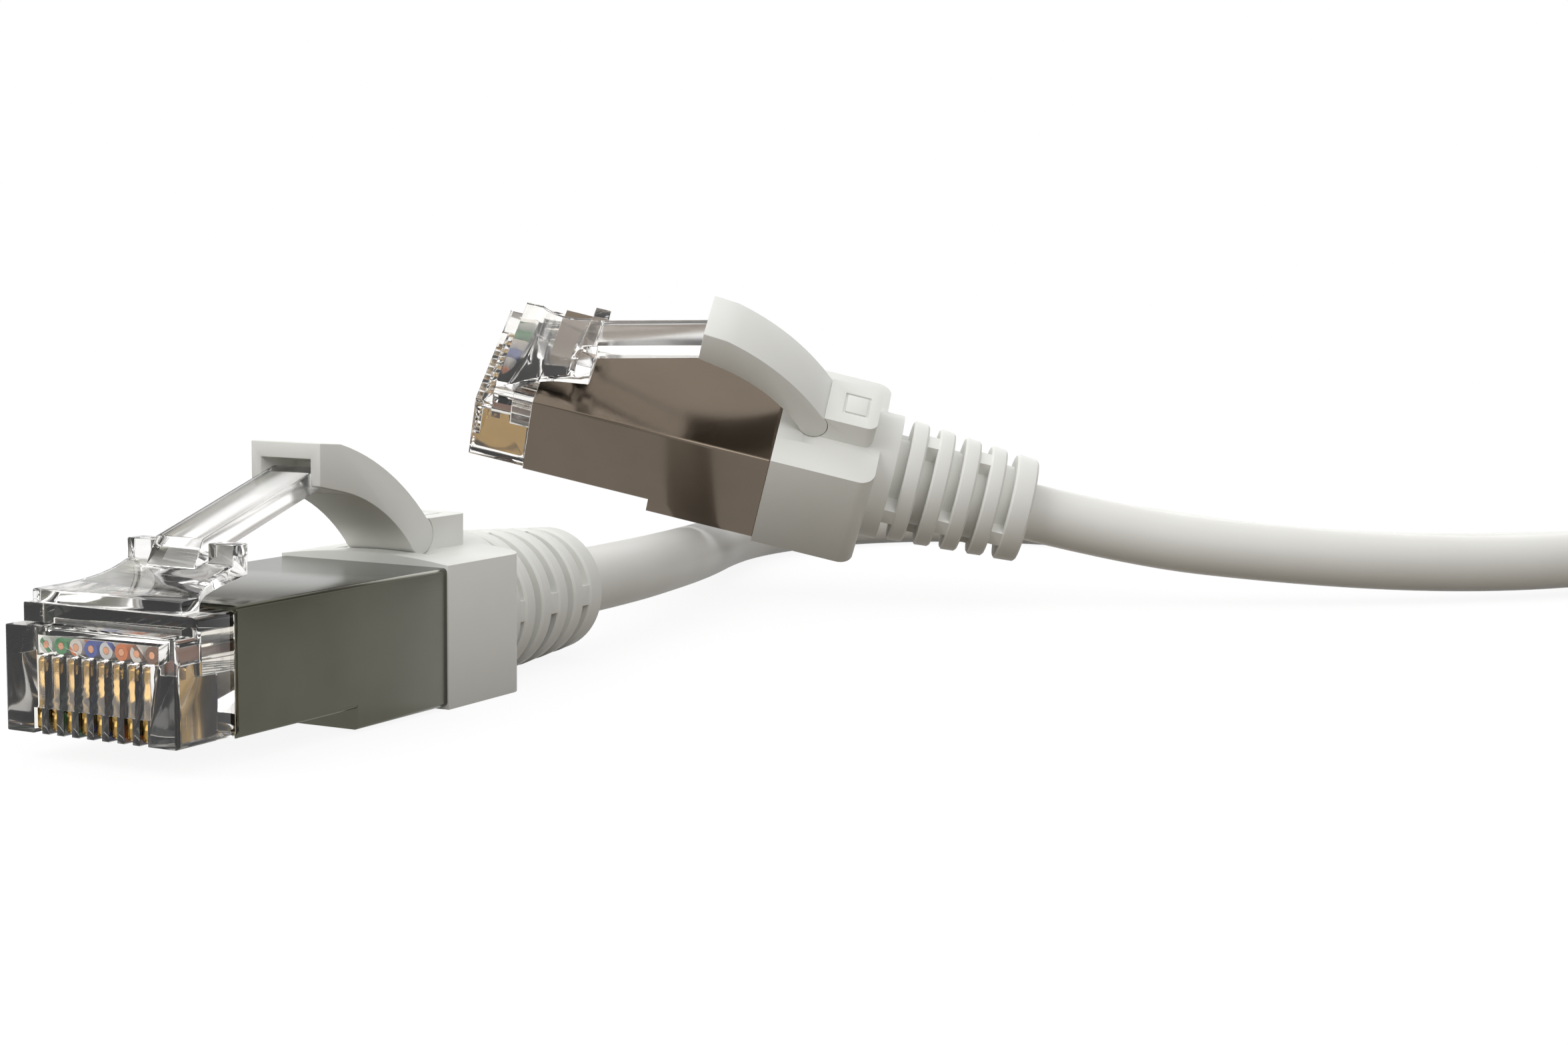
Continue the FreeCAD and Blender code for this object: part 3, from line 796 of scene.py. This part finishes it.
@dataclass
class Studio:
    """Pale floor, white surroundings, soft lamps and the camera."""

    floor_size: float = 6.0
    floor_colour: Colour = (0.22, 0.19, 0.15)
    floor_white: float = 0.90
    white_from: float = 0.15
    white_to: float = 0.5
    ambient: Colour = (0.24, 0.24, 0.245)
    sky: tuple = (
        (0.0, WHITE), (0.22, WHITE), (0.45, (0.32, 0.30, 0.28)), (1.0, (0.36, 0.34, 0.32)),
    )
    lamps: tuple[Lamp, ...] = (
        Lamp("overhead", (-0.12, 0.05, 0.62), (0.01, 0.03, 0.0), (1.2, 1.2), 4.6),
        Lamp("behind", (-0.15, 0.75, 0.35), (0.0, 0.03, 0.0), (0.7, 0.3), 1.3),
        Lamp("key", (-0.30, -0.45, 0.42), (0.0, 0.03, 0.0), (0.5, 0.5), 2.1),
        Lamp("front", (0.42, -0.30, 0.30), (0.0, 0.03, 0.0), (0.35, 0.35), 1.05),
    )
    camera_at: Point = (0.086891, -0.118501, 0.025677)
    ahead: Point = (-0.45470585, 0.88460707, -0.10350324)
    right: Point = (0.88885884, 0.45807034, 0.01007643)
    up: Point = (-0.05632544, 0.08741796, 0.99457807)
    lens: float = 55.163
    sensor: float = 36.0
    near: float = 0.005
    far: float = 20.0

    def seen_by(self, graph: Graph) -> Value:
        """Masks the rays that should meet white surroundings.

        Args:
            graph: the graph that the mask is made in.

        Returns:
            1 for camera, glossy and transmission rays, and 0 for others.
        """
        camera = graph.add("ShaderNodeLightPath", output="Is Camera Ray")
        glossy = graph.add("ShaderNodeLightPath", output="Is Glossy Ray")
        through = graph.add("ShaderNodeLightPath", output="Is Transmission Ray")
        return camera | glossy | through

    def floor(self) -> None:
        """A wide flat floor that keeps the object's shadow."""
        deselect()
        bpy.ops.mesh.primitive_plane_add(size=self.floor_size)
        floor = bpy.context.active_object
        floor.name = "floor"
        material, graph = new_material("floor_white")
        seen = self.seen_by(graph)
        ground = graph.mix(seen, self.floor_colour, WHITE)
        plain = graph.add("ShaderNodeBsdfDiffuse", None, {"Color": ground})
        white = graph.add("ShaderNodeEmission", None, {"Color": WHITE, "Strength": 1.0})
        coords = graph.add("ShaderNodeTexCoord", output="Object")
        away = graph.add("ShaderNodeVectorMath", {"operation": "LENGTH"}, {0: coords}, "Value")
        white_here = graph.add("ShaderNodeMapRange", None, {
            "Value": away,
            "From Min": self.white_from,
            "From Max": self.white_to,
            "To Min": self.floor_white,
            "To Max": 1.0,
        })
        mixed = graph.add("ShaderNodeMixShader", None, {0: seen * white_here, 1: plain, 2: white})
        graph.add_output("ShaderNodeOutputMaterial", mixed)
        dress(floor, material)

    def surroundings(self) -> None:
        """White all round the horizon, dimmer overhead."""
        world = bpy.data.worlds.new("surroundings")
        bpy.context.scene.world = world
        world.use_nodes = True
        graph = Graph(world.node_tree)
        ray = graph.add("ShaderNodeTexCoord", output="Generated")
        height = graph.add("ShaderNodeSeparateXYZ", None, {"Vector": ray}, "Z")
        seen = graph.add("ShaderNodeValToRGB", {"stops": self.sky}, {"Fac": height})
        light = graph.mix(self.seen_by(graph), self.ambient, seen)
        shader = graph.add("ShaderNodeBackground", None, {"Color": light})
        graph.add_output("ShaderNodeOutputWorld", shader)

    def camera(self) -> None:
        """The photograph's view."""
        data = bpy.data.cameras.new("camera")
        data.sensor_width = self.sensor
        data.lens = self.lens
        data.clip_start = self.near
        data.clip_end = self.far
        camera = bpy.data.objects.new("camera", data)
        turn = Matrix((self.right, self.up, -Vector(self.ahead))).transposed().to_4x4()
        camera.matrix_world = Matrix.Translation(Vector(self.camera_at)) @ turn
        bpy.context.scene.collection.objects.link(camera)
        bpy.context.scene.camera = camera

    def build(self) -> None:
        """Sets up the whole studio."""
        bpy.context.scene.view_settings.view_transform = "Standard"
        self.floor()
        self.surroundings()
        for lamp in self.lamps:
            lamp.build()
        self.camera()
        LOG.info("studio ready")


def main() -> None:
    """Builds the looks in order."""
    logging.basicConfig(level=logging.INFO)
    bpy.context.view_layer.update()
    deselect()
    Studio().build()
    Plug(
        letter="a",
        turn=(0.0, 0.0, 0.0),
        nose_at=-26.9 * MM,
        # The plates differ only by painted reflection: darker on plug A, lighter on plug B.
        plate=(0.115, 0.113, 0.088),
        plate_dark=(0.09, 0.09, 0.07),
    ).build()
    Plug(
        letter="b",
        turn=tuple(math.radians(part) for part in (-16.37, 35.29, -73.21)),
        nose_at=-4.593 * MM,
        # Plug B's lighter plate is painted reflection of the floor.
        plate=(0.16, 0.13, 0.102),
        plate_dark=(0.135, 0.11, 0.086),
    ).build()
    tie = CoilTie().build()
    Cable().build(tie)


if __name__ == "__main__":
    main()
